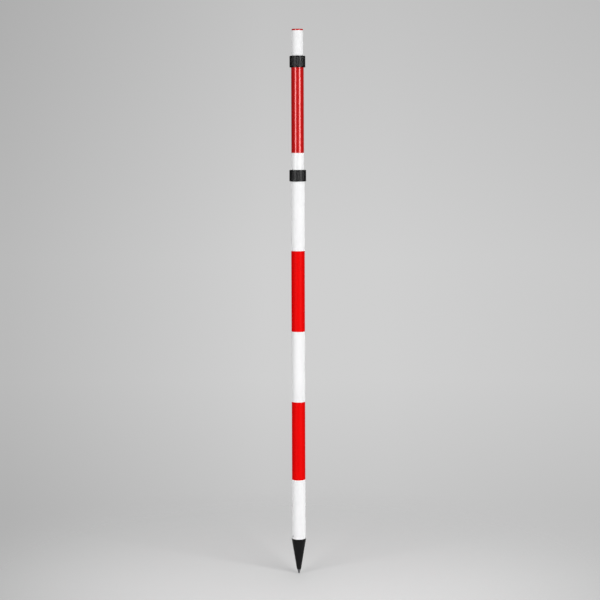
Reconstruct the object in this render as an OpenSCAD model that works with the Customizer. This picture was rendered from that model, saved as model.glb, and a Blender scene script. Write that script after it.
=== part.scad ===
// Telescopic range pole: a banded lower tube on a pointed shoe, with a middle and a top tube
// that slide out of it and are held by two twist-lock collars. Lengths are in millimetres.
// The point meets the ground at the origin and +Z runs up the pole.

/* [Point] */
// Length of the steel point below the shoe
point_length = 11.5; // [8:0.5:20]
// Diameter of the point where it meets the shoe
point_diameter = 9; // [8:0.25:10]
// Diameter at the top of the blunt nose
point_nose_diameter = 4; // [3:0.25:6]
// Length of the blunt nose
point_nose_length = 1.4; // [0.8:0.1:3]
// Diameter of the flat at the very end of the nose
point_flat_diameter = 1.6; // [1:0.2:2.4]
// Diameter of the shank held in the shoe
shank_diameter = 7; // [5:0.25:8]
// Length of the shank held in the shoe
shank_length = 42; // [25:1:50]

/* [Shoe] */
// Length of the cone, from its lower end to its rim
shoe_length = 83; // [65:1:110]
// Diameter of the cone at its lower end
shoe_end_diameter = 10.8; // [10:0.2:14]
// Chamfer round the cone's lower end
shoe_chamfer = 0.8; // [0.4:0.1:0.9]
// Width of the rim's ledge outside the tube
rim_ledge = 1.3; // [0.8:0.1:4]
// Height of the upright land under the rim's edge
rim_land = 1; // [0.5:0.1:3]
// Depth of the socket that takes the tube's lower end
socket_depth = 3; // [1:0.25:6]
// Length of the spigot inside the tube, above the rim
spigot_length = 41.5; // [30:0.5:70]
// Wall of the hollow spigot
spigot_wall = 4; // [2.5:0.25:6]

/* [Shoe rivets] */
// Height of the rivets above the shoe's rim
rivet_height = 7; // [5:0.5:20]
// Direction of the first rivet, turned about the pole
rivet_turn = 210; // [0:5:355]
// Diameter of a rivet's shank
rivet_diameter = 3.2; // [2.4:0.2:4]
// Diameter of a rivet's head
rivet_head_diameter = 5; // [4.5:0.25:8]
// Height of a rivet's head above the band
rivet_head_height = 0.8; // [0.6:0.1:1.6]
// Diameter of a rivet's set tail
rivet_tail_diameter = 4.6; // [4.2:0.2:6]
// Length of a rivet's set tail
rivet_tail_length = 3; // [2:0.25:5]

/* [Lower section] */
// Diameter over the coloured film
lower_diameter = 35; // [30:0.5:42]
// Thickness of the coloured film
film = 0.1; // [0.06:0.01:0.3]
// Wall of the lower tube
lower_wall = 0.75; // [0.7:0.05:2]
// Length of the white band above the shoe
base_white_length = 157.5; // [120:0.5:200]
// Length of the red band above it
lower_red_length = 206; // [150:0.5:250]
// Length of the white band at the middle
centre_white_length = 184.5; // [150:0.5:250]
// Length of the upper red band
upper_red_length = 209.5; // [150:0.5:250]
// Length of the white band below the lower collar
upper_white_length = 179; // [120:0.5:250]

/* [Middle section] */
// Distance between the two collars as the pole stands
middle_out = 261; // [20:0.5:700]
// Wall of the middle tube
middle_wall = 1.5; // [1:0.05:2.5]
// Length of the red band below the upper collar
middle_red_length = 217.5; // [150:0.5:250]

/* [Top section] */
// Length of tube above the upper collar as the pole stands
top_out = 64; // [40:0.5:400]
// Wall of the top tube
top_wall = 1.15; // [0.9:0.05:2]
// How far the head sleeve stands out from the sliding length of the top tube
head_step = 0.25; // [0.2:0.05:0.6]
// Height of the cap above the tube
cap_height = 4; // [2.5:0.25:10]
// Radius round the cap's top edge
cap_edge = 1.2; // [0.5:0.1:2]
// Length of the cap's plug inside the tube
cap_plug_length = 18; // [8:0.5:40]
// Wall of the cap's hollow plug
cap_plug_wall = 2; // [1:0.25:4]

/* [Lacquer on the sliding tubes] */
// Thickness of the lacquer
lacquer = 0.1; // [0.05:0.01:0.2]
// Length of a band that slides into the tube outside
hidden_band_length = 200; // [100:1:250]

/* [Collars] */
// Height of the ferrule's lower end inside the collar
ferrule_inset = 1; // [0.5:0.25:4]
// Length of tube held in the ferrule
ferrule_hold = 13; // [9:0.5:25]
// Thickness of the ferrule's lip over the tube's end
ferrule_lip = 3; // [2:0.25:6]
// Thickness of the ferrule outside the bands
ferrule_wall = 1.9; // [1.5:0.1:4]
// Least thickness of the ferrule round its conical seat
ferrule_rim = 0.8; // [0.6:0.1:2]
// Height of the conical seat
seat_length = 5; // [4:0.25:10]
// Thickness of the collet at its nose
collet_nose = 1.1; // [0.8:0.1:1.6]
// Thickness of the collet at its head
collet_head = 2.2; // [2:0.1:3.5]
// Height of the collet's head
collet_head_length = 4; // [3:0.25:8]
// Depth of the groove round the collet's head
collet_groove = 0.9; // [0.5:0.05:1.2]
// Height of the groove round the collet's head
collet_groove_length = 1.2; // [1:0.1:1.8]
// Number of slots in the collet
collet_slots = 8; // [4:1:12]
// Width of a slot in the collet
collet_slot_width = 1.2; // [0.8:0.1:2]
// Thickness of the collar outside its thread
nut_wall = 2; // [1.5:0.1:5]
// Thickness of the collar's top
nut_top = 3.4; // [2.5:0.1:8]
// Radius round the collar's edges
nut_edge = 2; // [0.8:0.1:2.4]
// Number of grip flutes round the collar
flutes = 48; // [24:1:60]
// Radius of a grip flute
flute_radius = 1.2; // [0.8:0.1:2]
// Depth of a grip flute
flute_depth = 0.25; // [0.2:0.05:0.6]
// Distance of the flutes' ends from the collar's rounded edges
flute_margin = 1; // [0.5:0.1:4]

/* [Guides and stops] */
// Length of the guide that runs in the tube outside
guide_length = 12; // [8:0.5:30]
// Length of the guide's spigot inside its own tube
guide_spigot = 28; // [15:0.5:50]
// Chamfer at the ends of the guide
guide_chamfer = 0.8; // [0.4:0.1:1.5]
// Diameter of the air passage through the guide
vent_diameter = 8; // [5:0.5:12]
// Diameter of the pin across the guide
pin_diameter = 3; // [2:0.25:4]
// Overlap of the tubes that the stop ring keeps
stop_overlap = 120; // [80:1:200]
// Height of the stop ring
ring_height = 1.6; // [1:0.1:2.4]
// Depth of the stop ring's groove in the tube
ring_groove = 0.4; // [0.25:0.05:0.6]
// Gap between the ends of the stop ring
ring_split = 3; // [1:0.5:6]

/* [Clearances] */
// Radial gap between one tube and the next
slide_gap = 0.4; // [0.35:0.05:1]
// Radial gap of guides and stop rings in the tube outside
run_gap = 0.1; // [0.05:0.01:0.2]
// Radial gap of the ferrule's lip round the sliding tube
lip_gap = 0.15; // [0.1:0.01:0.25]
// Radial gap between collet and tube when it is drawn tight
grip_gap = 0.1; // [0.05:0.01:0.15]
// Gap between collet and seat, and between collet and collar
seat_gap = 0.1; // [0.05:0.01:0.2]
// Radial gap between ferrule and collar
thread_gap = 0.1; // [0.05:0.01:0.2]
// Radial gap of the hole in the collar's top round the sliding tube
hole_gap = 0.3; // [0.2:0.05:0.5]
// Height left for drawing the collar tighter
draw_gap = 0.5; // [0.3:0.1:1]
// Gap of glued, riveted and pinned fits
bond_gap = 0.02; // [0.01:0.01:0.05]
// Gap left between the collars with the pole pushed together
nut_gap = 3; // [2:0.5:10]
// Gap left under the middle guide with the pole pushed together
home_gap = 5; // [2:0.5:20]
// Gap between the head sleeve and the upper collar with the top tube right in
head_gap = 2; // [1.6:0.1:6]
// Gap between the top guide and the middle guide below it
rest_gap = 0.3; // [0.2:0.05:1]

/* [Hidden] */
$fn = 96;

film_red = [0.85, 0.02, 0.02];
lacquer_red = [0.70, 0.05, 0.04];
white = [0.95, 0.95, 0.94];
black = [0.16, 0.16, 0.17];
aluminium = [0.75, 0.76, 0.78];
steel = [0.48, 0.48, 0.50];
acetal = [0.88, 0.87, 0.83];

// How far a cut runs past the face that it opens
cut = 1;

// Radii of the three tubes, from the outside in: over the colour, bare, and bore
lower_r = lower_diameter / 2;
lower_bare_r = lower_r - film;
lower_bore_r = lower_bare_r - lower_wall;
middle_r = lower_bore_r - slide_gap;
middle_bare_r = middle_r - lacquer;
middle_bore_r = middle_bare_r - middle_wall;
top_r = middle_bore_r - slide_gap;
top_bare_r = top_r - lacquer;
top_bore_r = top_bare_r - top_wall;
head_r = top_r + head_step;

// Heights in a lock, from the collar's lower end
tube_stop = ferrule_inset + ferrule_hold;
seat_low = tube_stop + ferrule_lip;
seat_high = seat_low + seat_length;
collet_top = seat_high + collet_head_length;
nut_top_low = collet_top + seat_gap;
nut_length = nut_top_low + nut_top;
groove_low = seat_high + (collet_head_length - collet_groove_length) / 2;
groove_high = groove_low + collet_groove_length;

// Heights on the lower section
rim_z = point_length + shoe_length;
lower_tube_z = rim_z - socket_depth;
spigot_top_z = rim_z + spigot_length;
lower_red_z = rim_z + base_white_length;
centre_white_z = lower_red_z + lower_red_length;
upper_red_z = centre_white_z + centre_white_length;
upper_white_z = upper_red_z + upper_red_length;
lower_nut_z = upper_white_z + upper_white_length;
rivet_z = rim_z + rivet_height;

// Heights on the two sliding sections
upper_nut_z = lower_nut_z + nut_length + middle_out;
top_end_z = upper_nut_z + nut_length + top_out;
head_z = upper_nut_z + nut_length + head_gap;
middle_guide_z = spigot_top_z + home_gap + middle_out - nut_gap;
middle_tube_z = middle_guide_z + guide_length;
middle_ring_z = middle_tube_z + stop_overlap;
top_guide_z = middle_tube_z + guide_spigot + rest_gap;
top_tube_z = top_guide_z + guide_length;
top_ring_z = top_tube_z + stop_overlap;

// Radii on the shoe
shoe_spigot_r = lower_bore_r - bond_gap;
shoe_hollow_r = shoe_spigot_r - spigot_wall;
shoe_rim_r = lower_r + rim_ledge;
rivet_tail_face = sqrt(pow(shoe_hollow_r, 2) - pow(rivet_tail_diameter / 2, 2)) - bond_gap;

// Radii of a lock round a section of radius inner, on a tube of radius outer over its colour
function collet_bore(inner) = inner + grip_gap;
function collet_nose_r(inner) = collet_bore(inner) + collet_nose;
function collet_head_r(inner) = collet_bore(inner) + collet_head;
function ferrule_r(outer, inner) =
    max(outer + ferrule_wall, collet_head_r(inner) + seat_gap + ferrule_rim);
function thread_r(outer, inner) = ferrule_r(outer, inner) + thread_gap;
function nut_r(outer, inner) = thread_r(outer, inner) + nut_wall;

module sleeve(outer, inner, low, high) {
    difference() {
        translate([0, 0, low]) cylinder(r = outer, h = high - low);
        translate([0, 0, low - cut]) cylinder(r = inner, h = high - low + 2 * cut);
    }
}

// A rod across the pole, from one distance along its own direction to another
module cross_rod(r, from, to, z, turn) {
    translate([0, 0, z]) rotate([0, 0, turn]) rotate([0, 90, 0]) translate([0, 0, from])
        cylinder(r = r, h = to - from);
}

module rivet_holes() {
    for (turn = [rivet_turn, rivet_turn + 180])
        cross_rod(rivet_diameter / 2 + bond_gap, shoe_hollow_r - cut, lower_r + cut, rivet_z, turn);
}

// Bands from the first edge down to a floor, every second one drawn, the first number given
module band_stack(outer, bare, top, first_edge, floor_z, first) {
    count = 1 + ceil((first_edge - floor_z) / hidden_band_length);
    edges = concat([top], [for (i = [0 : count - 1]) first_edge - i * hidden_band_length]);
    for (i = [first : 2 : count - 1]) {
        low = max(edges[i + 1], floor_z);
        if (edges[i] > low) sleeve(outer, bare + bond_gap, low, edges[i]);
    }
}

// A sliding tube with a groove for its stop ring and a hole for the pin across its guide
module sliding_tube(bare, bore, low, high) {
    difference() {
        sleeve(bare, bore, low, high);
        sleeve(bare + cut, bare - ring_groove, low + stop_overlap, low + stop_overlap + ring_height);
        cross_rod(pin_diameter / 2 + bond_gap, -bare - cut, bare + cut, low + guide_spigot / 2, 0);
    }
}

module ferrule(z, outer, bare, inner) {
    seat_r = collet_head_r(inner) + seat_gap;
    nose_seat_r = collet_nose_r(inner) + seat_gap;
    sleeve_r = bare + bond_gap;
    lip_r = inner + lip_gap;
    out_r = ferrule_r(outer, inner);
    translate([0, 0, z]) rotate_extrude() polygon([
        [sleeve_r, ferrule_inset], [out_r, ferrule_inset], [out_r, seat_high],
        [seat_r, seat_high], [nose_seat_r, seat_low], [lip_r, seat_low],
        [lip_r, tube_stop], [sleeve_r, tube_stop]
    ]);
}

module collet(z, inner) {
    bore_r = collet_bore(inner);
    head_r = collet_head_r(inner);
    nose_z = seat_low + draw_gap;
    nose_r = collet_nose_r(inner) + (collet_head - collet_nose) * draw_gap / seat_length;
    slot_length = groove_low - nose_z + cut;
    translate([0, 0, z]) difference() {
        rotate_extrude() polygon([
            [bore_r, nose_z], [nose_r, nose_z], [head_r, seat_high], [head_r, groove_low],
            [head_r - collet_groove, groove_low], [head_r - collet_groove, groove_high],
            [head_r, groove_high], [head_r, collet_top], [bore_r, collet_top]
        ]);
        for (i = [0 : collet_slots - 1])
            rotate([0, 0, i * 360 / collet_slots])
                translate([bore_r - cut, -collet_slot_width / 2, nose_z - cut])
                    cube([collet_head + 2 * cut, collet_slot_width, slot_length]);
    }
}

module lock_nut(z, outer, inner) {
    out_r = nut_r(outer, inner);
    bore_r = thread_r(outer, inner);
    chamber_r = collet_head_r(inner) + seat_gap;
    bead_r = chamber_r - collet_groove;
    hole_r = inner + hole_gap;
    flute_low = nut_edge + flute_margin;
    translate([0, 0, z]) difference() {
        rotate_extrude() difference() {
            union() {
                square([out_r - nut_edge, nut_length]);
                translate([0, nut_edge]) square([out_r, nut_length - 2 * nut_edge]);
                for (edge_z = [nut_edge, nut_length - nut_edge])
                    translate([out_r - nut_edge, edge_z]) circle(r = nut_edge);
            }
            polygon([
                [-cut, -cut], [bore_r, -cut], [bore_r, seat_high + draw_gap],
                [chamber_r, seat_high + draw_gap], [chamber_r, groove_low + seat_gap],
                [bead_r, groove_low + seat_gap], [bead_r, groove_high - seat_gap],
                [chamber_r, groove_high - seat_gap], [chamber_r, nut_top_low],
                [hole_r, nut_top_low], [hole_r, nut_length + cut], [-cut, nut_length + cut]
            ]);
        }
        for (i = [0 : flutes - 1])
            rotate([0, 0, (i + 0.5) * 360 / flutes])
                translate([out_r + flute_radius - flute_depth, 0, flute_low])
                    cylinder(r = flute_radius, h = nut_length - 2 * flute_low);
    }
}

module guide_plug(z, run_bore, own_bore) {
    run_r = run_bore - run_gap;
    spigot_r = own_bore - bond_gap;
    top = guide_length + guide_spigot;
    difference() {
        translate([0, 0, z]) rotate_extrude() polygon([
            [vent_diameter / 2, 0], [run_r - guide_chamfer, 0], [run_r, guide_chamfer],
            [run_r, guide_length], [spigot_r, guide_length], [spigot_r, top - guide_chamfer],
            [spigot_r - guide_chamfer, top], [vent_diameter / 2, top]
        ]);
        cross_rod(pin_diameter / 2 + bond_gap, -run_bore, run_bore,
                  z + guide_length + guide_spigot / 2, 0);
    }
}

module guide_pin(z, bare) {
    cross_rod(pin_diameter / 2, -bare + run_gap, bare - run_gap, z + guide_spigot / 2, 0);
}

module stop_ring(z, bare, run_bore) {
    outer = run_bore - run_gap;
    difference() {
        sleeve(outer, bare - ring_groove + bond_gap, z + bond_gap, z + ring_height - bond_gap);
        translate([0, -ring_split / 2, z - cut]) cube([outer + cut, ring_split, ring_height + 2 * cut]);
    }
}

module lower_tube() {
    color(aluminium) difference() {
        sleeve(lower_bare_r, lower_bore_r, lower_tube_z, lower_nut_z + tube_stop);
        rivet_holes();
    }
}

module base_white_band() {
    color(white) difference() {
        sleeve(lower_r, lower_bare_r + bond_gap, lower_tube_z, lower_red_z);
        rivet_holes();
    }
}

module lower_red_band() {
    color(film_red) sleeve(lower_r, lower_bare_r + bond_gap, lower_red_z, centre_white_z);
}

module centre_white_band() {
    color(white) sleeve(lower_r, lower_bare_r + bond_gap, centre_white_z, upper_red_z);
}

module upper_red_band() {
    color(film_red) sleeve(lower_r, lower_bare_r + bond_gap, upper_red_z, upper_white_z);
}

module upper_white_band() {
    color(white)
        sleeve(lower_r, lower_bare_r + bond_gap, upper_white_z, lower_nut_z + ferrule_inset);
}

module point_shoe() {
    end_r = shoe_end_diameter / 2;
    socket_r = lower_r + run_gap;
    shank_r = shank_diameter / 2 + bond_gap;
    color(black) difference() {
        rotate_extrude() polygon([
            [shank_r, point_length], [end_r - shoe_chamfer, point_length],
            [end_r, point_length + shoe_chamfer], [shoe_rim_r, rim_z - rim_land],
            [shoe_rim_r, rim_z], [socket_r, rim_z], [socket_r, lower_tube_z],
            [shoe_spigot_r, lower_tube_z], [shoe_spigot_r, spigot_top_z],
            [shoe_hollow_r, spigot_top_z], [shoe_hollow_r, rim_z],
            [0, rim_z], [0, point_length + shank_length], [shank_r, point_length + shank_length]
        ]);
        rivet_holes();
    }
}

module steel_point() {
    shank_r = shank_diameter / 2;
    shoulder_r = point_diameter / 2;
    color(steel) rotate_extrude() polygon([
        [0, 0], [point_flat_diameter / 2, 0], [point_nose_diameter / 2, point_nose_length],
        [shoulder_r, point_length], [shank_r, point_length],
        [shank_r, point_length + shank_length - bond_gap], [0, point_length + shank_length - bond_gap]
    ]);
}

module shoe_rivets() {
    head_r = rivet_head_diameter / 2;
    tail_r = rivet_tail_diameter / 2;
    tail_end = rivet_tail_face - rivet_tail_length;
    color(aluminium) for (turn = [rivet_turn, rivet_turn + 180]) {
        difference() {
            cross_rod(head_r, lower_bore_r, lower_r + rivet_head_height, rivet_z, turn);
            translate([0, 0, rivet_z - head_r - cut])
                cylinder(r = lower_r + bond_gap, h = 2 * (head_r + cut));
        }
        cross_rod(rivet_diameter / 2, tail_end, lower_r + rivet_head_height, rivet_z, turn);
        cross_rod(tail_r, tail_end, rivet_tail_face, rivet_z, turn);
    }
}

module lower_ferrule() {
    color(aluminium) ferrule(lower_nut_z, lower_r, lower_bare_r, middle_r);
}

module lower_collet() {
    color(acetal) collet(lower_nut_z, middle_r);
}

module lower_lock_nut() {
    color(black) lock_nut(lower_nut_z, lower_r, middle_r);
}

module middle_tube() {
    color(aluminium)
        sliding_tube(middle_bare_r, middle_bore_r, middle_tube_z, upper_nut_z + tube_stop);
}

module middle_bands(first) {
    band_stack(middle_r, middle_bare_r, upper_nut_z + ferrule_inset,
               upper_nut_z - middle_red_length, middle_ring_z + ring_height, first);
}

module middle_red_bands() {
    color(lacquer_red) middle_bands(0);
}

module middle_white_bands() {
    color(white) middle_bands(1);
}

module middle_guide_plug() {
    color(acetal) guide_plug(middle_guide_z, lower_bore_r, middle_bore_r);
}

module middle_guide_pin() {
    color(steel) guide_pin(middle_tube_z, middle_bare_r);
}

module middle_stop_ring() {
    color(steel) stop_ring(middle_ring_z, middle_bare_r, lower_bore_r);
}

module upper_ferrule() {
    color(aluminium) ferrule(upper_nut_z, middle_r, middle_bare_r, top_r);
}

module upper_collet() {
    color(acetal) collet(upper_nut_z, top_r);
}

module upper_lock_nut() {
    color(black) lock_nut(upper_nut_z, middle_r, top_r);
}

module top_tube() {
    color(aluminium) sliding_tube(top_bare_r, top_bore_r, top_tube_z, top_end_z);
}

module top_head_sleeve() {
    color(white) sleeve(head_r, top_bare_r + bond_gap, head_z, top_end_z);
}

module top_bands(first) {
    band_stack(top_r, top_bare_r, head_z, top_end_z - hidden_band_length,
               top_ring_z + ring_height, first);
}

module top_white_bands() {
    color(white) top_bands(0);
}

module top_red_bands() {
    color(lacquer_red) top_bands(1);
}

module top_guide_plug() {
    color(acetal) guide_plug(top_guide_z, middle_bore_r, top_bore_r);
}

module top_guide_pin() {
    color(steel) guide_pin(top_tube_z, top_bare_r);
}

module top_stop_ring() {
    color(steel) stop_ring(top_ring_z, top_bare_r, middle_bore_r);
}

module top_cap() {
    plug_r = top_bore_r - bond_gap;
    color(lacquer_red) translate([0, 0, top_end_z]) rotate_extrude() difference() {
        union() {
            translate([0, -cap_plug_length]) square([plug_r, cap_plug_length + cap_edge]);
            square([head_r, cap_height - cap_edge]);
            square([head_r - cap_edge, cap_height]);
            translate([head_r - cap_edge, cap_height - cap_edge]) circle(r = cap_edge);
        }
        translate([-cut, -cap_plug_length - cut])
            square([plug_r - cap_plug_wall + cut, cap_plug_length + cut]);
    }
}

lower_tube();
base_white_band();
lower_red_band();
centre_white_band();
upper_red_band();
upper_white_band();
point_shoe();
steel_point();
shoe_rivets();
lower_ferrule();
lower_collet();
lower_lock_nut();
middle_tube();
middle_red_bands();
middle_white_bands();
middle_guide_plug();
middle_guide_pin();
middle_stop_ring();
upper_ferrule();
upper_collet();
upper_lock_nut();
top_tube();
top_head_sleeve();
top_white_bands();
top_red_bands();
top_guide_plug();
top_guide_pin();
top_stop_ring();
top_cap();
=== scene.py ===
import math
from types import SimpleNamespace

import bmesh
import bpy
from mathutils import Matrix, Vector


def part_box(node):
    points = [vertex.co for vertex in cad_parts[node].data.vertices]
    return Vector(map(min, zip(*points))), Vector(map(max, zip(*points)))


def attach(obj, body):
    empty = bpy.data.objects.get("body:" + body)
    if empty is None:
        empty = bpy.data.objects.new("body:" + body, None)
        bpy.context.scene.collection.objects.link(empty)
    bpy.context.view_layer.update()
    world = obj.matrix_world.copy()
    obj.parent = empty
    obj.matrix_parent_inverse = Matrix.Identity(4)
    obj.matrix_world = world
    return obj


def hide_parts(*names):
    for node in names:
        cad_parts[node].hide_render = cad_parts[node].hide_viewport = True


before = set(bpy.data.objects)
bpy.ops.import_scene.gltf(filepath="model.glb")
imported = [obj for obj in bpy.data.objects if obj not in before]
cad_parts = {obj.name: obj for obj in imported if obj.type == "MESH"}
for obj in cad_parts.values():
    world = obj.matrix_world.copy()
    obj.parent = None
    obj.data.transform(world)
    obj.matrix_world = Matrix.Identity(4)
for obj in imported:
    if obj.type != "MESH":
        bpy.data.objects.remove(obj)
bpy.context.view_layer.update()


# The lower tube is the outer leg that the other two slide into. It is drawn aluminium, cut square
# and drilled for the shoe's rivets. Film covers it, and its ends are inside the shoe and the ferrule.
mm = 0.001


def add_node(tree, kind, given=None, **options):
    """Adds a node, sets its options, and sets or wires its inputs."""
    node = tree.nodes.new(kind)
    for option, value in options.items():
        setattr(node, option, value)
    for socket, value in (given or {}).items():
        if isinstance(value, bpy.types.NodeSocket):
            tree.links.new(value, node.inputs[socket])
        else:
            node.inputs[socket].default_value = value
    return node


def work_out(tree, operation, *values):
    return add_node(tree, "ShaderNodeMath", dict(enumerate(values)), operation=operation).outputs[0]


def mottling(tree, cells, detail=2.0):
    """Soft noise with so many cells to the metre along X, Y and Z, about 0.5 on average."""
    coordinates = add_node(tree, "ShaderNodeTexCoord").outputs["Object"]
    drawn_out = add_node(tree, "ShaderNodeMapping", {"Vector": coordinates, "Scale": cells}).outputs[0]
    noise = {"Vector": drawn_out, "Scale": 1.0, "Detail": detail}
    return add_node(tree, "ShaderNodeTexNoise", noise).outputs[0]


def spread(tree, pattern, low, high, least=0.3, most=0.7):
    """A pattern's usual range drawn out to run from low to high."""
    ends = {"Value": pattern, "From Min": least, "From Max": most, "To Min": low, "To Max": high}
    return add_node(tree, "ShaderNodeMapRange", ends).outputs[0]


def tint(tree, pattern, dark, light, least=0.3, most=0.7, dust_and_shade=None):
    """A colour that follows a pattern from dark to light, and where it falls to 0, to the darker colour
    given for dust and painted shade.
    """
    ramp = add_node(tree, "ShaderNodeValToRGB", {"Fac": pattern})
    stops = ramp.color_ramp.elements
    for stop, position, colour in zip(stops, (least, most), (dark, light)):
        stop.position = position
        stop.color = (*colour, 1.0)
    if dust_and_shade:
        stops.new(0.0).color = (*dust_and_shade, 1.0)
    return ramp.outputs[0]


def relief(tree, pattern, height):
    return add_node(tree, "ShaderNodeBump", {"Height": pattern, "Distance": height}).outputs[0]


def start_finish(name, **even):
    """A new finish, its tree, and the shader's sockets. Even values go straight on the sockets."""
    finish = bpy.data.materials.new(name)
    finish.use_nodes = True
    sockets = finish.node_tree.nodes["Principled BSDF"].inputs
    for socket, value in even.items():
        sockets[socket.replace("_", " ")].default_value = value
    return finish, finish.node_tree, sockets


def lay_on(tree, sockets, colour, roughness, normal):
    tree.links.new(colour, sockets["Base Color"])
    tree.links.new(roughness, sockets["Roughness"])
    tree.links.new(normal, sockets["Normal"])


def dress(finish, *nodes):
    for node in nodes:
        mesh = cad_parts[node].data
        mesh.materials.clear()
        mesh.materials.append(finish)


drawn_aluminium, tree, sockets = start_finish("drawn_aluminium", Metallic=1.0)
die_lines = mottling(tree, (1400, 1400, 8), 3.0)
lay_on(
    tree, sockets,
    tint(tree, die_lines, (0.62, 0.63, 0.65), (0.78, 0.79, 0.81)),
    spread(tree, die_lines, 0.26, 0.42),
    relief(tree, die_lines, 0.012 * mm),
)
dress(drawn_aluminium, "lower_tube")


# Five lengths of satin vinyl film band the lower tube in white and red. Each is cut to its band and
# wrapped round the tube, so that its cut end laps over its start in a low ridge down the back. A darker
# line is painted along the cut: partly dust, partly painted shade of the ridge's step.
film_gauge = 0.08 * mm
film_edge = 0.03 * mm
film_columns = 150
lap_share = 0.1
lap_width = 7 * mm
lap_fall = (0.5, 1.0)
cut_end = 0.001
dust_and_shade_width = (0.2, 0.36)
pole_back = math.radians(90)
flat_parts = 3
lead_share = 0.4
merge_distance = 0.001 * mm
sharp_angle = math.radians(40)


def eased(corners, steps=4):
    """A closed section through (radius, height, ease) corners, each rounded by its ease, with a point
    just before and after each round so that the flats beside it stay flat in the light."""
    sides = []
    for number, (radius, height, ease) in enumerate(corners):
        here = Vector((radius, height))
        back = Vector(corners[number - 1][:2]) - here
        on = Vector(corners[(number + 1) % len(corners)][:2]) - here
        sides.append((here, back, on, ease / math.tan(back.angle(on) / 2)))
    points = []
    for number, (here, back, on, reach) in enumerate(sides):
        ease = corners[number][2]
        if not ease:
            points.append(tuple(here))
            continue
        before = (back.length - reach - sides[number - 1][3]) / flat_parts
        after = (on.length - reach - sides[(number + 1) % len(sides)][3]) / flat_parts
        back, on = back.normalized(), on.normalized()
        centre = here + (back + on).normalized() * math.hypot(ease, reach)
        first = here + back * reach - centre
        last = here + on * reach - centre
        points.append(tuple(here + back * (reach + min(lead_share * reach, before))))
        for step in range(steps + 1):
            points.append(tuple(centre + first.lerp(last, step / steps).normalized() * ease))
        points.append(tuple(here + on * (reach + min(lead_share * reach, after))))
    return points


def draw_section(name, points, marked=lambda radius, height: 0.0):
    """The section as a closed line in a mesh of its own, each point with a mark from 0 to 1."""
    line = bpy.data.meshes.new(name)
    closed = points + points[:1]
    steps = [(number, number + 1) for number in range(len(points))]
    line.from_pydata([(radius, 0.0, height) for radius, height in closed], steps, [])
    marks = line.attributes.new("mark", "FLOAT", "POINT")
    marks.data.foreach_set("value", [marked(radius, height) for radius, height in closed])
    return line


def start_turning(name, *sizes):
    """Opens a tree that turns the section in a mesh about an axis. For each point of its lattice it
    gives the share of the turn, and the section's radius, height and mark."""
    tree = bpy.data.node_groups.new(name, "GeometryNodeTree")
    inputs = [("Section", "Geometry"), ("Finish", "Material"), ("Columns", "Int")]
    for label, kind in inputs + [(size, "Float") for size in sizes]:
        tree.interface.new_socket(label, in_out="INPUT", socket_type="NodeSocket" + kind)
    tree.interface.new_socket("Piece", in_out="OUTPUT", socket_type="NodeSocketGeometry")
    given = add_node(tree, "NodeGroupInput").outputs
    section = given["Section"]
    size = add_node(tree, "GeometryNodeAttributeDomainSize", {"Geometry": section})
    rows = size.outputs["Point Count"]
    columns = work_out(tree, "ADD", given["Columns"], 1)
    grid = {"Vertices X": columns, "Vertices Y": rows}
    lattice = add_node(tree, "GeometryNodeMeshGrid", grid).outputs["Mesh"]
    number = add_node(tree, "GeometryNodeInputIndex").outputs[0]
    row = work_out(tree, "MODULO", number, rows)
    column = work_out(tree, "FLOOR", work_out(tree, "DIVIDE", number, rows))

    def on_section(kind, value):
        sample = {"Geometry": section, "Value": value, "Index": row}
        return add_node(tree, "GeometryNodeSampleIndex", sample, data_type=kind).outputs["Value"]

    drawn = on_section("FLOAT_VECTOR", add_node(tree, "GeometryNodeInputPosition").outputs[0])
    across = add_node(tree, "ShaderNodeSeparateXYZ", {0: drawn}).outputs
    named = add_node(tree, "GeometryNodeInputNamedAttribute", {"Name": "mark"}, data_type="FLOAT")
    return SimpleNamespace(
        tree=tree, given=given, lattice=lattice,
        share=work_out(tree, "DIVIDE", column, given["Columns"]),
        radius=across["X"], height=across["Z"],
        mark=on_section("FLOAT", named.outputs["Attribute"]),
    )


def round_axis(tree, radius, angle, height):
    """The place at a radius, angle and height, as X, Y and Z."""
    across = work_out(tree, "MULTIPLY", radius, work_out(tree, "COSINE", angle))
    along = work_out(tree, "MULTIPLY", radius, work_out(tree, "SINE", angle))
    return add_node(tree, "ShaderNodeCombineXYZ", {"X": across, "Y": along, "Z": height}).outputs[0]


def close_turning(job, place, lattice=None):
    """Puts the lattice in place, joins its seam and poles, and shades it smooth."""
    steps = (
        ("GeometryNodeSetPosition", {"Position": place}),
        ("GeometryNodeMergeByDistance", {"Distance": merge_distance}),
        ("GeometryNodeSetShadeSmooth", {}),
    )
    shape = lattice or job.lattice
    for kind, given in steps:
        shape = add_node(job.tree, kind, {"Geometry": shape, **given}).outputs[0]
    return shape


def keep_value(job, name, value):
    """The lattice with a value kept at each of its points, for a finish to read by name."""
    kept = {"Geometry": job.lattice, "Name": name, "Value": value}
    return add_node(job.tree, "GeometryNodeStoreNamedAttribute", kept, data_type="FLOAT").outputs[0]


def ease_down(tree, value, start, end):
    """A smooth fall from 1 at start to 0 at end."""
    ends = {"Value": value, "From Min": start, "From Max": end, "To Min": 1.0, "To Max": 0.0}
    return add_node(tree, "ShaderNodeMapRange", ends, interpolation_type="SMOOTHSTEP").outputs[0]


def close_tree(job, shape):
    whole = add_node(job.tree, "GeometryNodeRealizeInstances", {"Geometry": shape}).outputs[0]
    coat = {"Geometry": whole, "Material": job.given["Finish"]}
    coated = add_node(job.tree, "GeometryNodeSetMaterial", coat).outputs[0]
    add_node(job.tree, "NodeGroupOutput", {"Piece": coated})
    return job.tree


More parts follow.
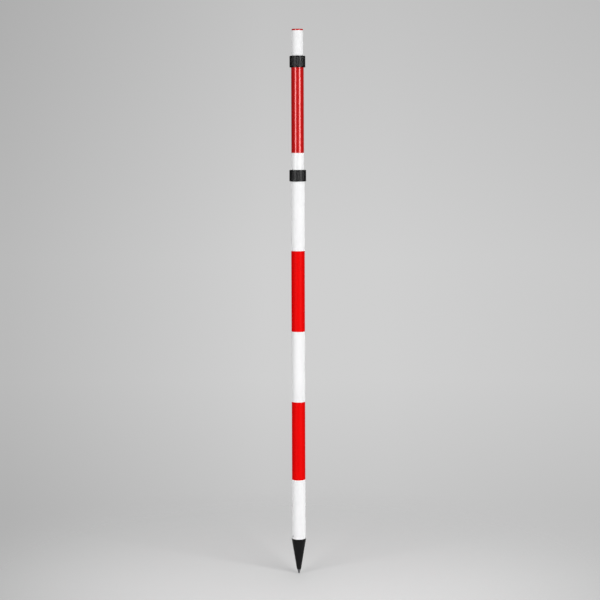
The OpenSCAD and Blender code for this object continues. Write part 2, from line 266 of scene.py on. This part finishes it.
def make_piece(name, tree, section, finish, columns, **sizes):
    """Runs a drawn section through a tree and keeps the result as a plain mesh, faces outwards."""
    piece = bpy.data.objects.new(name, section)
    bpy.context.scene.collection.objects.link(piece)
    maker = piece.modifiers.new("maker", "NODES")
    maker.node_group = tree
    inputs = {"Finish": finish, "Columns": columns}
    inputs.update({size.replace("_", " "): value for size, value in sizes.items()})
    for item in tree.interface.items_tree:
        if item.in_out == "INPUT" and item.name in inputs:
            maker[item.identifier] = inputs[item.name]
    made = piece.evaluated_get(bpy.context.evaluated_depsgraph_get())
    plain = bpy.data.meshes.new_from_object(made)
    plain.name = name
    piece.modifiers.remove(maker)
    piece.data = plain
    shape = bmesh.new()
    shape.from_mesh(plain)
    bare_edges = [edge for edge in shape.edges if not edge.link_faces]
    bmesh.ops.delete(shape, geom=bare_edges, context="EDGES")
    bmesh.ops.recalc_face_normals(shape, faces=shape.faces[:])
    shape.to_mesh(plain)
    shape.free()
    plain.set_sharp_from_angle(angle=sharp_angle)
    return piece


def stand_for(piece, body, slot, *nodes):
    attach(piece, body)
    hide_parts(*nodes)


def satin_film(name, dust_and_shade, worn, fresh, chalkiness):
    finish, tree, sockets = start_finish(name, Specular_IOR_Level=0.04, Diffuse_Roughness=chalkiness)
    cut_edge = add_node(tree, "ShaderNodeAttribute", attribute_name="cut_edge").outputs["Fac"]
    clean = spread(tree, mottling(tree, (24, 24, 9), 3.0), 0.5, 1.0)
    peel = mottling(tree, (700, 700, 700), 2.0)
    scuffs = mottling(tree, (120, 120, 2600), 4.0)
    rubbed = spread(tree, scuffs, 0.0, 0.12, 0.62, 0.72)
    # The cut edge's line takes the colour toward dust_and_shade: dust on the cut and painted shade of
    # the lap's step.
    shown = work_out(tree, "SUBTRACT", clean, cut_edge)
    lay_on(
        tree, sockets,
        tint(tree, shown, worn, fresh, least=0.5, most=1.0, dust_and_shade=dust_and_shade),
        work_out(tree, "ADD", spread(tree, peel, 0.44, 0.52), rubbed),
        relief(tree, work_out(tree, "SUBTRACT", peel, rubbed), 0.01 * mm),
    )
    return finish


white_film = satin_film(
    "white_film", dust_and_shade=(0.66, 0.66, 0.65), worn=(0.87, 0.87, 0.875), fresh=(0.91, 0.91, 0.915),
    chalkiness=1.0,
)
red_film = satin_film(
    "red_film", dust_and_shade=(0.52, 0.003, 0.003), worn=(0.77, 0.0006, 0.0006), fresh=(0.84, 0.001, 0.001),
    chalkiness=0.0,
)

wrap = start_turning("wrapped_film", "Lap Turn", "Lap Angle", "Lap Share", "Lap Rise")
through = work_out(wrap.tree, "DIVIDE", wrap.share, wrap.given["Lap Share"])
through = work_out(wrap.tree, "MINIMUM", through, 1.0)
lapped = work_out(wrap.tree, "POWER", through, 2.0)
lapped = work_out(wrap.tree, "MULTIPLY", lapped, wrap.given["Lap Angle"])
past_lap = {
    "Value": wrap.share, "From Min": wrap.given["Lap Share"], "From Max": 1.0, "To Min": 0.0,
    "To Max": work_out(wrap.tree, "SUBTRACT", math.tau, wrap.given["Lap Angle"]),
}
single = add_node(wrap.tree, "ShaderNodeMapRange", past_lap).outputs[0]
turn = work_out(wrap.tree, "ADD", work_out(wrap.tree, "ADD", lapped, single), wrap.given["Lap Turn"])
ridge = ease_down(wrap.tree, through, *lap_fall)
ridge = work_out(wrap.tree, "MULTIPLY", ridge, work_out(wrap.tree, "GREATER_THAN", through, cut_end))
ridge = work_out(wrap.tree, "MULTIPLY", ridge, wrap.mark)
ridge = work_out(wrap.tree, "MULTIPLY", ridge, wrap.given["Lap Rise"])
raised = work_out(wrap.tree, "ADD", wrap.radius, ridge)
# A darker line kept along the cut edge for the finish: dust there, and painted shade of the step.
dust_and_shade_line = work_out(wrap.tree, "MULTIPLY", ease_down(wrap.tree, through, *dust_and_shade_width), wrap.mark)
dust_and_shade_kept = keep_value(wrap, "cut_edge", dust_and_shade_line)
place = round_axis(wrap.tree, raised, turn, wrap.height)
wrapping = close_tree(wrap, close_turning(wrap, place, dust_and_shade_kept))

for label, node, finish, slip in (
    ("base_white", "base_white_band", white_film, 1.0),
    ("lower_red", "lower_red_band", red_film, -2.0),
    ("centre_white", "centre_white_band", white_film, 3.0),
    ("upper_red", "upper_red_band", red_film, 0.0),
    ("upper_white", "upper_white_band", white_film, -1.0),
):
    low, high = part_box(node)
    outer = high.x
    inner = outer - film_gauge
    outer_face = inner + film_edge / 2
    edges = eased([
        (inner, low.z, 0.0),
        (outer, low.z, film_edge),
        (outer, high.z, film_edge),
        (inner, high.z, 0.0),
    ])
    film_line = draw_section(label + "_strip", edges, lambda radius, height: float(radius > outer_face))
    band = make_piece(
        label + "_film", wrapping, film_line, finish, film_columns,
        Lap_Turn=pole_back + math.radians(slip), Lap_Angle=lap_width / outer,
        Lap_Share=lap_share, Lap_Rise=film_gauge,
    )
    stand_for(band, "lower_section", "red_film" if finish is red_film else "white_film", node)


# The shoe is a cone of black moulded nylon. Its spigot goes up inside the lower tube, a socket under
# its rim takes the tube's end, and the hole in its lower end holds the steel point.
shoe_low, shoe_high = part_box("point_shoe")
point_low, point_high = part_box("steel_point")
tube_low, tube_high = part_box("lower_tube")
film_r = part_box("base_white_band")[1].x
bond = 0.02 * mm
tube_wall = 0.75 * mm
socket_depth = 3 * mm
socket_gap = 0.1 * mm
spigot_wall = 4 * mm
rim_land = 1 * mm
rim_r = shoe_high.x
rim_z = tube_low.z + socket_depth
socket_r = film_r + socket_gap
spigot_r = tube_high.x - tube_wall - bond
hollow_r = spigot_r - spigot_wall
cone_end_r = 5.4 * mm
shank_r = 3.5 * mm
round_columns = 128

shoe_nylon, tree, sockets = start_finish("shoe_nylon", Specular_IOR_Level=0.12)
spark = mottling(tree, (1500, 1500, 1500), 3.0)
flow = mottling(tree, (40, 40, 14), 3.0)
scratches = mottling(tree, (900, 900, 60), 4.0)
scraped = spread(tree, scratches, 0.0, 1.0, 0.62, 0.74)
lay_on(
    tree, sockets,
    tint(
        tree, work_out(tree, "MULTIPLY_ADD", scraped, 0.3, flow),
        (0.0045, 0.0045, 0.0048), (0.011, 0.011, 0.0115),
    ),
    work_out(tree, "MULTIPLY_ADD", scraped, 0.1, spread(tree, spark, 0.4, 0.52)),
    relief(tree, work_out(tree, "MULTIPLY_ADD", scraped, -0.6, spark), 0.02 * mm),
)

turning = start_turning("turned_piece")
angle = work_out(turning.tree, "MULTIPLY", turning.share, math.tau)
place = round_axis(turning.tree, turning.radius, angle, turning.height)
turned = close_tree(turning, close_turning(turning, place))

shoe_section = eased([
    (shank_r + bond, shoe_low.z, 0.2 * mm),
    (cone_end_r, shoe_low.z, 0.7 * mm),
    (rim_r, rim_z - rim_land, 1.2 * mm),
    (rim_r, rim_z, 0.4 * mm),
    (socket_r, rim_z, 0.15 * mm),
    (socket_r, tube_low.z, 0.0),
    (spigot_r, tube_low.z, 0.0),
    (spigot_r, shoe_high.z, 0.6 * mm),
    (hollow_r, shoe_high.z, 0.6 * mm),
    (hollow_r, rim_z, 1.5 * mm),
    (0.0, rim_z, 0.0),
    (0.0, point_high.z + bond, 0.0),
    (shank_r + bond, point_high.z + bond, 0.3 * mm),
])
shoe_line = draw_section("shoe_section", shoe_section)
shoe = make_piece("shoe_cone", turned, shoe_line, shoe_nylon, round_columns)
stand_for(shoe, "lower_section", "shoe_black", "point_shoe")


# The steel point is turned from bar: a blunt nose that finds the survey mark, a cone that carries on
# the shoe's line, and a straight shank that is pressed up into the shoe.
nose_flat_r = 0.8 * mm
nose_r = 2 * mm
nose_length = 1.4 * mm
nose_z = point_low.z + nose_length
shoulder_r = 4.5 * mm
point_columns = 96

turned_steel, tree, sockets = start_finish("turned_steel", Metallic=1.0)
coordinates = add_node(tree, "ShaderNodeTexCoord").outputs["Object"]
tool_marks = {"Vector": coordinates, "Scale": 620.0, "Distortion": 1.5, "Detail": 2.0}
tool_marks = add_node(tree, "ShaderNodeTexWave", tool_marks, bands_direction="Z").outputs["Fac"]
stain = mottling(tree, (160, 160, 160), 4.0)
lay_on(
    tree, sockets,
    tint(tree, stain, (0.16, 0.16, 0.17), (0.3, 0.3, 0.31)),
    work_out(tree, "MULTIPLY_ADD", tool_marks, 0.08, spread(tree, stain, 0.3, 0.44)),
    relief(tree, tool_marks, 0.015 * mm),
)
point_section = eased([
    (0.0, point_low.z, 0.0),
    (nose_flat_r, point_low.z, 0.5 * mm),
    (nose_r, nose_z, 1.2 * mm),
    (shoulder_r, shoe_low.z, 0.25 * mm),
    (shank_r, shoe_low.z, 0.0),
    (shank_r, point_high.z, 0.4 * mm),
    (0.0, point_high.z, 0.0),
])
point_line = draw_section("point_section", point_section)
point = make_piece("point_tip", turned, point_line, turned_steel, point_columns)
stand_for(point, "lower_section", "steel", "steel_point")


# Two natural aluminium rivets hold the shoe in the tube, one on each side. Each goes through film, tube
# and spigot, its domed head closed down on the curve of the film and its tail set inside the spigot.
rivet_low, rivet_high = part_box("shoe_rivets")
rivet_z = (rivet_low.z + rivet_high.z) / 2
rivet_count = 2
rivet_turn = math.radians(210)
rivet_r = 1.6 * mm
head_r = 2.5 * mm
head_height = 0.8 * mm
head_edge = 0.25 * mm
head_top = film_r + head_height
head_rim = film_r + head_edge
tail_r = 2.3 * mm
tail_gap = 0.3 * mm
tail_length = 3 * mm
tail_chamfer = 0.5 * mm
tail_face = hollow_r - tail_gap
tail_end = tail_face - tail_length
dome_steps = 6
rivet_columns = 40

set_aluminium, tree, sockets = start_finish("set_aluminium", Metallic=1.0)
oxide = mottling(tree, (900, 900, 900), 4.0)
lay_on(
    tree, sockets,
    tint(tree, oxide, (0.42, 0.42, 0.43), (0.6, 0.6, 0.61)),
    spread(tree, oxide, 0.34, 0.48),
    relief(tree, oxide, 0.01 * mm),
)

setting = start_turning("set_rivets", "Rivets", "First Turn", "Height", "Seat Radius")
angle = work_out(setting.tree, "MULTIPLY", setting.share, math.tau)
upright = round_axis(setting.tree, setting.radius, angle, setting.height)
upright = add_node(setting.tree, "ShaderNodeSeparateXYZ", {0: upright}).outputs
seat = work_out(setting.tree, "POWER", setting.given["Seat Radius"], 2.0)
seat = work_out(setting.tree, "SUBTRACT", seat, work_out(setting.tree, "POWER", upright["X"], 2.0))
seat = work_out(setting.tree, "SQRT", seat)
sunk = work_out(setting.tree, "SUBTRACT", seat, upright["Z"])
out = work_out(setting.tree, "MULTIPLY_ADD", sunk, setting.mark, upright["Z"])
lying = {"X": out, "Y": upright["X"], "Z": upright["Y"]}
lying = add_node(setting.tree, "ShaderNodeCombineXYZ", lying).outputs[0]
one_rivet = close_turning(setting, lying)
height = add_node(setting.tree, "ShaderNodeCombineXYZ", {"Z": setting.given["Height"]}).outputs[0]
places = {"Count": setting.given["Rivets"], "Position": height}
places = add_node(setting.tree, "GeometryNodePoints", places).outputs[0]
number = add_node(setting.tree, "GeometryNodeInputIndex").outputs[0]
step = work_out(setting.tree, "DIVIDE", math.tau, setting.given["Rivets"])
facing = work_out(setting.tree, "MULTIPLY_ADD", number, step, setting.given["First Turn"])
facing = add_node(setting.tree, "ShaderNodeCombineXYZ", {"Z": facing}).outputs[0]
facing = add_node(setting.tree, "FunctionNodeEulerToRotation", {0: facing}).outputs[0]
copies = {"Points": places, "Instance": one_rivet, "Rotation": facing}
copies = add_node(setting.tree, "GeometryNodeInstanceOnPoints", copies).outputs[0]
riveting = close_tree(setting, copies)

dome_angles = [part * math.pi / 2 / dome_steps for part in range(dome_steps)]
dome = [
    (head_r * math.cos(angle), head_rim + (head_top - head_rim) * math.sin(angle))
    for angle in dome_angles
]
seated = [(rivet_r, film_r), (head_r, film_r)]
rivet_section = [
    (0.0, tail_end),
    (tail_r - tail_chamfer, tail_end),
    (tail_r, tail_end + tail_chamfer),
    (tail_r, tail_face - tail_chamfer),
    (tail_r - tail_chamfer, tail_face),
    (rivet_r, tail_face),
    *seated,
    *dome,
    (0.0, head_top),
]
rivet_line = draw_section("rivet_section", rivet_section, lambda *point: float(point in seated))
rivets = make_piece(
    "rivet_pair", riveting, rivet_line, set_aluminium, rivet_columns,
    Rivets=float(rivet_count), First_Turn=rivet_turn, Height=rivet_z, Seat_Radius=film_r + bond,
)
stand_for(rivets, "lower_section", "aluminium", "shoe_rivets")


# A ferrule of turned aluminium is bonded on the top of the lower tube and another on the middle tube.
# Each carries the collar's thread outside and a conical seat for the collet inside.
dress(drawn_aluminium, "lower_ferrule", "upper_ferrule")


# The collets are slotted rings of natural acetal. The collar pushes each down into its seat, and the
# cone closes its fingers on the tube that slides through.
natural_acetal, tree, sockets = start_finish("natural_acetal", Specular_IOR_Level=0.4)
cloud = mottling(tree, (90, 90, 90), 3.0)
coordinates = add_node(tree, "ShaderNodeTexCoord").outputs["Object"]
turned_rings = {"Vector": coordinates, "Scale": 900.0, "Distortion": 0.6}
turned_rings = add_node(tree, "ShaderNodeTexWave", turned_rings, bands_direction="Z").outputs["Fac"]
lay_on(
    tree, sockets,
    tint(tree, cloud, (0.72, 0.7, 0.63), (0.8, 0.78, 0.72)),
    work_out(tree, "MULTIPLY_ADD", turned_rings, 0.06, spread(tree, cloud, 0.36, 0.46)),
    relief(tree, turned_rings, 0.008 * mm),
)
dress(natural_acetal, "lower_collet", "upper_collet")


# The two lock collars are black moulded nylon nuts with rounded ends and a ring of upright flutes for
# the hand. Turned by the flutes, each screws down on its ferrule and presses the collet shut.
collar_wall = 2 * mm
collar_edge = 2 * mm
collar_foot = 1.6 * mm
thread_end = 22.5 * mm
bead_low = 23.5 * mm
bead_high = 24.5 * mm
collar_roof = 26.1 * mm
hole_gap = 0.3 * mm
seat_gap = 0.1 * mm
collet_groove = 0.9 * mm
flutes = 48
flute_columns = 12
flute_half = 0.7 * mm
flute_depth = 0.25 * mm
flute_start = 2.8 * mm
flute_run_out = 1.4 * mm
run_out_steps = 6
collar_round_steps = 6
wall_slack = 0.001 * mm

collar_nylon, tree, sockets = start_finish("collar_nylon", Specular_IOR_Level=0.36)
crest = add_node(tree, "ShaderNodeAttribute", attribute_name="crest").outputs["Fac"]
spark = mottling(tree, (1800, 1800, 1800), 3.0)
handled = mottling(tree, (70, 70, 40), 3.0)
polish_and_flute_shade = work_out(tree, "MULTIPLY", crest, handled)
# The flutes' hollows are painted darker than the crests, as painted shade in the grooves; handling also
# wears the crests, lowering their roughness.
lay_on(
    tree, sockets,
    tint(
        tree, work_out(tree, "MULTIPLY_ADD", spark, 0.3, polish_and_flute_shade),
        (0.003, 0.003, 0.0032), (0.01, 0.01, 0.0105), least=0.0, most=0.9,
    ),
    work_out(tree, "MULTIPLY_ADD", polish_and_flute_shade, -0.12, spread(tree, spark, 0.3, 0.38)),
    relief(tree, spark, 0.012 * mm),
)

fluting = start_turning("fluted_collar", "Flutes", "Flute Half Width", "Flute Depth")
angle = work_out(fluting.tree, "MULTIPLY", fluting.share, math.tau)
pitches = work_out(fluting.tree, "MULTIPLY", fluting.share, fluting.given["Flutes"])
aside = work_out(fluting.tree, "SUBTRACT", work_out(fluting.tree, "FRACT", pitches), 0.5)
pitch = work_out(fluting.tree, "MULTIPLY", fluting.radius, math.tau)
pitch = work_out(fluting.tree, "DIVIDE", pitch, fluting.given["Flutes"])
aside = work_out(fluting.tree, "MULTIPLY", work_out(fluting.tree, "ABSOLUTE", aside), pitch)
aside = work_out(fluting.tree, "DIVIDE", aside, fluting.given["Flute Half Width"])
aside = work_out(fluting.tree, "MINIMUM", aside, 1.0)
scoop = work_out(fluting.tree, "COSINE", work_out(fluting.tree, "MULTIPLY", aside, math.pi))
scoop = work_out(fluting.tree, "MULTIPLY_ADD", scoop, 0.5, 0.5)
scoop = work_out(fluting.tree, "MULTIPLY", scoop, fluting.mark)
cut = work_out(fluting.tree, "MULTIPLY", scoop, fluting.given["Flute Depth"])
radius = work_out(fluting.tree, "SUBTRACT", fluting.radius, cut)
# The crest mark is kept for the finish, which paints the hollows darker as painted shade.
ridges = keep_value(fluting, "crest", work_out(fluting.tree, "SUBTRACT", fluting.mark, scoop))
place = round_axis(fluting.tree, radius, angle, fluting.height)
fluted = close_tree(fluting, close_turning(fluting, place, ridges))

for label, node, body, collet, inner_band in (
    ("lower", "lower_lock_nut", "lower_collar", "lower_collet", "middle_red_bands"),
    ("upper", "upper_lock_nut", "upper_collar", "upper_collet", "top_white_bands"),
):
    low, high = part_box(node)
    outer = high.x
    thread_r = outer - collar_wall
    chamber_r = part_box(collet)[1].x + seat_gap
    bead_r = chamber_r - collet_groove
    hole_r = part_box(inner_band)[1].x + hole_gap
    first, last = low.z + flute_start, high.z - flute_start

    def gripped(radius, height):
        if radius < outer - wall_slack:
            return 0.0
        run = min(height - first, last - height) / flute_run_out
        run = max(0.0, min(1.0, run))
        return math.sqrt(1 - (1 - run) ** 2)

    ends = [flute_run_out * part / run_out_steps for part in range(run_out_steps + 1)]
    wall = [first + end for end in ends] + [last - end for end in reversed(ends)]
    collar_section = eased([
        (thread_r, low.z, 0.15 * mm),
        (outer, low.z, collar_foot),
        *[(outer, height, 0.0) for height in wall],
        (outer, high.z, collar_edge),
        (hole_r, high.z, 0.5 * mm),
        (hole_r, low.z + collar_roof, 0.3 * mm),
        (chamber_r, low.z + collar_roof, 0.0),
        (chamber_r, low.z + bead_high, 0.0),
        (bead_r, low.z + bead_high, 0.2 * mm),
        (bead_r, low.z + bead_low, 0.2 * mm),
        (chamber_r, low.z + bead_low, 0.0),
        (chamber_r, low.z + thread_end, 0.0),
        (thread_r, low.z + thread_end, 0.0),
    ], collar_round_steps)
    collar_line = draw_section(label + "_collar_section", collar_section, gripped)
    collar = make_piece(
        label + "_grip_collar", fluted, collar_line, collar_nylon, flutes * flute_columns,
        Flutes=float(flutes), Flute_Half_Width=flute_half, Flute_Depth=flute_depth,
    )
    stand_for(collar, body, "collar_black", node)


# The middle and top tubes are drawn aluminium. A guide plug of acetal, held by a steel pin, runs in
# the tube outside, and a spring ring in a groove stops each tube before it leaves its lock.
dress(drawn_aluminium, "middle_tube", "top_tube")
dress(natural_acetal, "middle_guide_plug", "top_guide_plug")
dress(turned_steel, "middle_guide_pin", "top_guide_pin", "middle_stop_ring", "top_stop_ring")


# Gloss lacquer bands the two sliding tubes in red and white, sprayed on and cut off sharp at masking
# tape. The tubes are polished round and round first, which draws the gloss out along them, and the red
# is clear enough for the metal to redden its gloss. Sliding in the locks draws fine scuffs along both.
lacquer_coat = 0.08 * mm
lacquer_edge = 0.03 * mm
lacquer_ior = 1.74
gloss_stretch = 0.9
quarter_turn = 0.25
band_length = 200 * mm


def gloss_lacquer(name, worn, fresh, chalkiness, shine, tinge):
    finish, tree, sockets = start_finish(
        name, Diffuse_Roughness=chalkiness, IOR=lacquer_ior, Specular_IOR_Level=shine,
        Specular_Tint=(*tinge, 1.0), Anisotropic=gloss_stretch, Anisotropic_Rotation=quarter_turn,
    )
    flow_out = mottling(tree, (260, 260, 260), 2.0)
    slide_marks = mottling(tree, (2400, 2400, 5), 4.0)
    dulled = spread(tree, slide_marks, 0.0, 0.08, 0.6, 0.74)
    lay_on(
        tree, sockets,
        tint(tree, mottling(tree, (30, 30, 8), 3.0), worn, fresh),
        work_out(tree, "ADD", spread(tree, flow_out, 0.32, 0.36), dulled),
        relief(tree, work_out(tree, "SUBTRACT", flow_out, dulled), 0.006 * mm),
    )
    return finish


white_lacquer = gloss_lacquer(
    "white_lacquer", worn=(0.87, 0.87, 0.875), fresh=(0.91, 0.91, 0.915),
    chalkiness=1.0, shine=0.2, tinge=(1.0, 1.0, 1.0),
)
red_lacquer = gloss_lacquer(
    "red_lacquer", worn=(0.55, 0.002, 0.0015), fresh=(0.62, 0.003, 0.0025),
    chalkiness=0.0, shine=1.0, tinge=(1.0, 0.6, 0.6),
)

for tube, body, first_colour, second_colour in (
    ("middle", "middle_section", "red", "white"),
    ("top", "top_section", "white", "red"),
):
    first_low, first_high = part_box(f"{tube}_{first_colour}_bands")
    second_low, second_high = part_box(f"{tube}_{second_colour}_bands")
    outer = first_high.x
    inner = outer - lacquer_coat
    lowest = min(first_low.z, second_low.z)
    edges = [first_high.z, second_high.z]
    while edges[-1] - band_length > lowest:
        edges.append(edges[-1] - band_length)
    edges.append(lowest)
    for turn, colour in enumerate((first_colour, second_colour)):
        finish = red_lacquer if colour == "red" else white_lacquer
        bands = []
        for top, bottom in list(zip(edges, edges[1:]))[turn::2]:
            coat = eased([
                (inner, bottom, 0.0),
                (outer, bottom, lacquer_edge),
                (outer, top, lacquer_edge),
                (inner, top, 0.0),
            ])
            coat = draw_section(f"{tube}_{colour}_coat", coat)
            bands.append(make_piece(f"{tube}_{colour}_lacquer", turned, coat, finish, round_columns))
        with bpy.context.temp_override(active_object=bands[0], selected_editable_objects=bands):
            bpy.ops.object.join()
        stand_for(bands[0], body, f"{colour}_lacquer", f"{tube}_{colour}_bands")


# A thin white plastic sleeve is bonded on the head of the top tube and turned true there, as the seat
# of a clamp-on target. Its lower edge lands just above the upper collar when the tube is pushed home.
sleeve_low, sleeve_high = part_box("top_head_sleeve")
sleeve_bore_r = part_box("top_tube")[1].x + bond

white_sleeve, tree, sockets = start_finish("white_sleeve", Specular_IOR_Level=0.3, Diffuse_Roughness=1.0)
skin = mottling(tree, (420, 420, 420), 2.0)
handling = mottling(tree, (300, 300, 1600), 4.0)
rubbed = spread(tree, handling, 0.0, 0.12, 0.6, 0.72)
lay_on(
    tree, sockets,
    tint(tree, mottling(tree, (50, 50, 20), 3.0), (0.87, 0.87, 0.875), (0.91, 0.91, 0.915)),
    work_out(tree, "ADD", spread(tree, skin, 0.34, 0.4), rubbed),
    relief(tree, work_out(tree, "SUBTRACT", skin, rubbed), 0.008 * mm),
)
sleeve_section = eased([
    (sleeve_bore_r, sleeve_low.z, 0.05 * mm),
    (sleeve_high.x, sleeve_low.z, 0.15 * mm),
    (sleeve_high.x, sleeve_high.z, 0.08 * mm),
    (sleeve_bore_r, sleeve_high.z, 0.0),
])
sleeve_line = draw_section("sleeve_section", sleeve_section)
sleeve = make_piece("head_sleeve", turned, sleeve_line, white_sleeve, round_columns)
stand_for(sleeve, "top_section", "white_sleeve", "top_head_sleeve")


# The cap is moulded in dark red gloss plastic. Its hollow plug is pushed into the top tube, and its
# rounded flange closes the end flush with the head sleeve, with a small gate mark in the middle.
cap_low, cap_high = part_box("top_cap")
cap_seat_z = sleeve_high.z
cap_edge = 1.2 * mm
cap_crown = 0.25 * mm
top_tube_wall = 1.15 * mm
plug_wall = 2 * mm
plug_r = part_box("top_tube")[1].x - top_tube_wall - bond
plug_bore_r = plug_r - plug_wall
gate_r = 1.4 * mm
gate_depth = 0.3 * mm
gate_slope = 0.5 * mm
cap_round_steps = 6

cap_red, tree, sockets = start_finish("cap_red", Specular_IOR_Level=0.5)
swirl = mottling(tree, (120, 120, 120), 3.0)
skin = mottling(tree, (600, 600, 600), 2.0)
lay_on(
    tree, sockets,
    tint(tree, swirl, (0.5, 0.004, 0.004), (0.58, 0.006, 0.005)),
    spread(tree, skin, 0.14, 0.22),
    relief(tree, skin, 0.008 * mm),
)
cap_section = eased([
    (0.0, cap_high.z - gate_depth, 0.0),
    (gate_r, cap_high.z - gate_depth, 0.2 * mm),
    (gate_r + gate_slope, cap_high.z, 0.3 * mm),
    (cap_high.x, cap_high.z - cap_crown, cap_edge),
    (cap_high.x, cap_seat_z, 0.15 * mm),
    (plug_r, cap_seat_z, 0.2 * mm),
    (plug_r, cap_low.z, 0.8 * mm),
    (plug_bore_r, cap_low.z, 0.5 * mm),
    (plug_bore_r, cap_seat_z, 0.5 * mm),
    (0.0, cap_seat_z, 0.0),
], cap_round_steps)
cap_line = draw_section("cap_section", cap_section)
cap = make_piece("end_cap", turned, cap_line, cap_red, round_columns)
stand_for(cap, "top_section", "cap_red", "top_cap")


# The studio: a pale floor that fades into a grey backdrop, and a soft light from behind. In front,
# two softboxes light the pole, and two strips flagged off the floor and the white head draw its gloss
# streaks. A long lens looks on from a little above the middle of the pole.
scene = bpy.context.scene
scene.view_settings.view_transform = "Standard"

floor_radius = 6.0
floor_segments = 96
floor_drop = 0.1 * mm
floor_grey = (0.92, 0.92, 0.92, 1.0)
fade_start = 0.2
fade_end = 1.1
floor_mesh = bpy.data.meshes.new("studio_floor")
shape = bmesh.new()
bmesh.ops.create_circle(shape, cap_ends=True, radius=floor_radius, segments=floor_segments)
bmesh.ops.translate(shape, vec=(0.0, 0.0, -floor_drop), verts=shape.verts)
shape.to_mesh(floor_mesh)
shape.free()
floor = bpy.data.objects.new("studio_floor", floor_mesh)
scene.collection.objects.link(floor)

floor_paint = bpy.data.materials.new("floor_paint")
floor_paint.use_nodes = True
tree = floor_paint.node_tree
tree.nodes.clear()
surface = add_node(tree, "ShaderNodeNewGeometry").outputs
away = {0: surface["Position"]}
away = add_node(tree, "ShaderNodeVectorMath", away, operation="LENGTH").outputs["Value"]
fade = work_out(tree, "SUBTRACT", 1.0, ease_down(tree, away, fade_start, fade_end))
fade = work_out(tree, "MAXIMUM", fade, surface["Backfacing"])
paint = add_node(tree, "ShaderNodeBsdfDiffuse", {"Color": floor_grey}).outputs[0]
clear = add_node(tree, "ShaderNodeBsdfTransparent").outputs[0]
mixed = add_node(tree, "ShaderNodeMixShader", {0: fade, 1: paint, 2: clear}).outputs[0]
add_node(tree, "ShaderNodeOutputMaterial", {"Surface": mixed})
floor_mesh.materials.append(floor_paint)

world = bpy.data.worlds.new("studio")
scene.world = world
world.use_nodes = True
tree = world.node_tree
tree.nodes.clear()
white_light = (1.0, 1.0, 1.0, 1.0)
gloss_share = 0.1
direction = add_node(tree, "ShaderNodeTexCoord").outputs["Generated"]
direction = add_node(tree, "ShaderNodeSeparateXYZ", {0: direction}).outputs
sideways, backwards, upwards = direction["X"], direction["Y"], direction["Z"]
ray = add_node(tree, "ShaderNodeLightPath").outputs


def shine_in(strength):
    """White light from all round, of the strength worked out for each direction."""
    light = {"Color": white_light, "Strength": strength}
    return add_node(tree, "ShaderNodeBackground", light).outputs[0]


# The backdrop is lighter low down, and falls off at the foot of the picture and to both sides.
backdrop = spread(tree, upwards, 0.63, 0.54, -0.08, 0.08)
backdrop = work_out(tree, "MULTIPLY", backdrop, spread(tree, upwards, 0.9, 1.0, -0.22, -0.15))
backdrop = work_out(tree, "MULTIPLY", backdrop, spread(tree, sideways, 0.78, 1.0, -0.17, -0.02))
backdrop = work_out(tree, "MULTIPLY", backdrop, spread(tree, sideways, 1.0, 0.93, 0.05, 0.17))

# The room lights the pole from behind, more from the right, and from all round, more from above. A
# soft lamp adds to it straight behind the pole. Gloss shows only a small share of this light.
bounce = spread(tree, backwards, 0.0, 0.43, 0.1, 0.95)
bounce = work_out(tree, "MULTIPLY", bounce, spread(tree, sideways, 0.2, 1.0, -0.7, 0.2))
bounce = work_out(tree, "ADD", bounce, spread(tree, upwards, 0.195, 0.365, 0.5, 0.9))
bounce = work_out(tree, "ADD", bounce, spread(tree, backwards, 0.0, 2.4, 0.86, 1.0))
dimmed = work_out(tree, "MULTIPLY_ADD", ray["Is Glossy Ray"], gloss_share - 1.0, 1.0)
bounce = work_out(tree, "MULTIPLY", bounce, dimmed)

# The camera sees the backdrop, and so does gloss where it looks back past the edges of the pole.
mirrored = work_out(tree, "MULTIPLY", ray["Is Glossy Ray"], spread(tree, backwards, 0.0, 1.0, 0.8, 1.0))
seen = work_out(tree, "MAXIMUM", ray["Is Camera Ray"], mirrored)
mixed = {0: seen, 1: shine_in(bounce), 2: shine_in(backdrop)}
mixed = add_node(tree, "ShaderNodeMixShader", mixed).outputs[0]
add_node(tree, "ShaderNodeOutputWorld", {"Surface": mixed})

lamp_height = 2.4
lamp_distance = 2.2
lamp_middle = 1.2
strip_glow = 8.75


def hang_lamp(name, bearing, width, glow):
    """A panel that faces the pole, so many degrees to the right of the camera."""
    panel = bpy.data.lights.new(name, "AREA")
    panel.shape = "RECTANGLE"
    panel.size = width
    panel.size_y = lamp_height
    panel.energy = math.pi * glow * width * lamp_height
    lamp = bpy.data.objects.new(name, panel)
    scene.collection.objects.link(lamp)
    bearing = math.radians(bearing)
    towards = Vector((-math.sin(bearing), math.cos(bearing), 0.0))
    lamp.location = Vector((0.0, 0.0, lamp_middle)) - towards * lamp_distance
    lamp.rotation_euler = towards.to_track_quat("-Z", "Y").to_euler()
    lamp.visible_camera = False
    return lamp


flagged_off = bpy.data.collections.new("flagged_off")
for piece in (sleeve, floor):
    flagged_off.objects.link(piece)
for shaded in flagged_off.collection_objects:
    shaded.light_linking.link_state = "EXCLUDE"

for side, strip_bearing, strip_width, box_bearing, box_width, box_glow in (
    ("right", 42.9, 0.6, 37.0, 1.5, 3.75),
    ("left", -37.3, 0.41, -37.0, 1.4, 2.3),
):
    strip = hang_lamp(side + "_strip", strip_bearing, strip_width, strip_glow)
    strip.visible_diffuse = False
    strip.light_linking.receiver_collection = flagged_off
    hang_lamp(side + "_softbox", box_bearing, box_width, box_glow).visible_glossy = False

camera_place = (0.0048, -4.381, 1.1846)
camera_tilt = math.radians(84.0)
camera_roll = -0.0031
focal_length = 102.0
sensor_width = 36.0
lens = bpy.data.cameras.new("long_lens")
lens.lens = focal_length
lens.sensor_width = sensor_width
camera = bpy.data.objects.new("long_lens", lens)
scene.collection.objects.link(camera)
camera.location = camera_place
turned_down = Matrix.Rotation(camera_tilt, 3, "X") @ Matrix.Rotation(camera_roll, 3, "Z")
camera.rotation_euler = turned_down.to_euler()
scene.camera = camera
